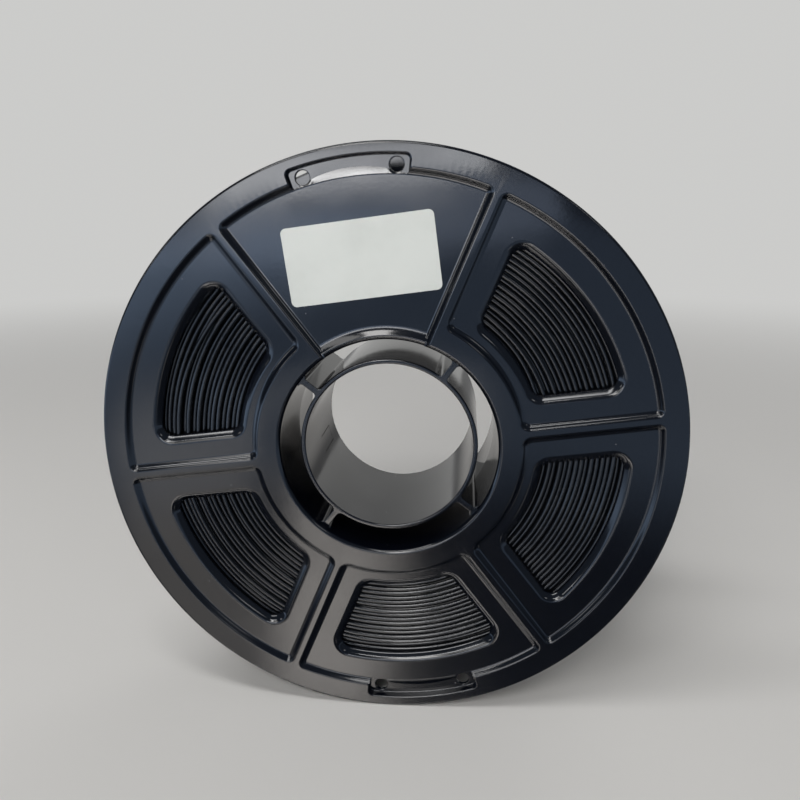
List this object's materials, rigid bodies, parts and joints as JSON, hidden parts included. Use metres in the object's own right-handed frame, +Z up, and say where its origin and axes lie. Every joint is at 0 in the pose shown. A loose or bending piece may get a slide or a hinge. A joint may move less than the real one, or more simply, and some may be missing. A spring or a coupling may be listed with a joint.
{
  "type": "filament spool",
  "caption": "Moulded plastic spool for 3d-printer filament, wound full, with windowed ribbed flanges and a plain tubular hub that turns on a holder.",
  "frame": {"origin": "middle of the spool, on the axis of its bore and halfway between the outer faces", "axes": "+Y along the bore from the labelled face to the rear face, +Z up towards the label's panel, +X to the right seen from the labelled face"},
  "size_m": [0.2, 0.06, 0.2],
  "materials": {
    "spool_plastic": "glossy moulded black with a cold blue cast",
    "filament": "glossy black strand",
    "label_film": "satin off-white sticker, bare"
  },
  "bodies": {
    "root": {"front_half": "spool_plastic", "rear_half": "spool_plastic", "filament_core": "filament", "filament_winding": "filament", "label": "label_film"}
  },
  "joints": []
}
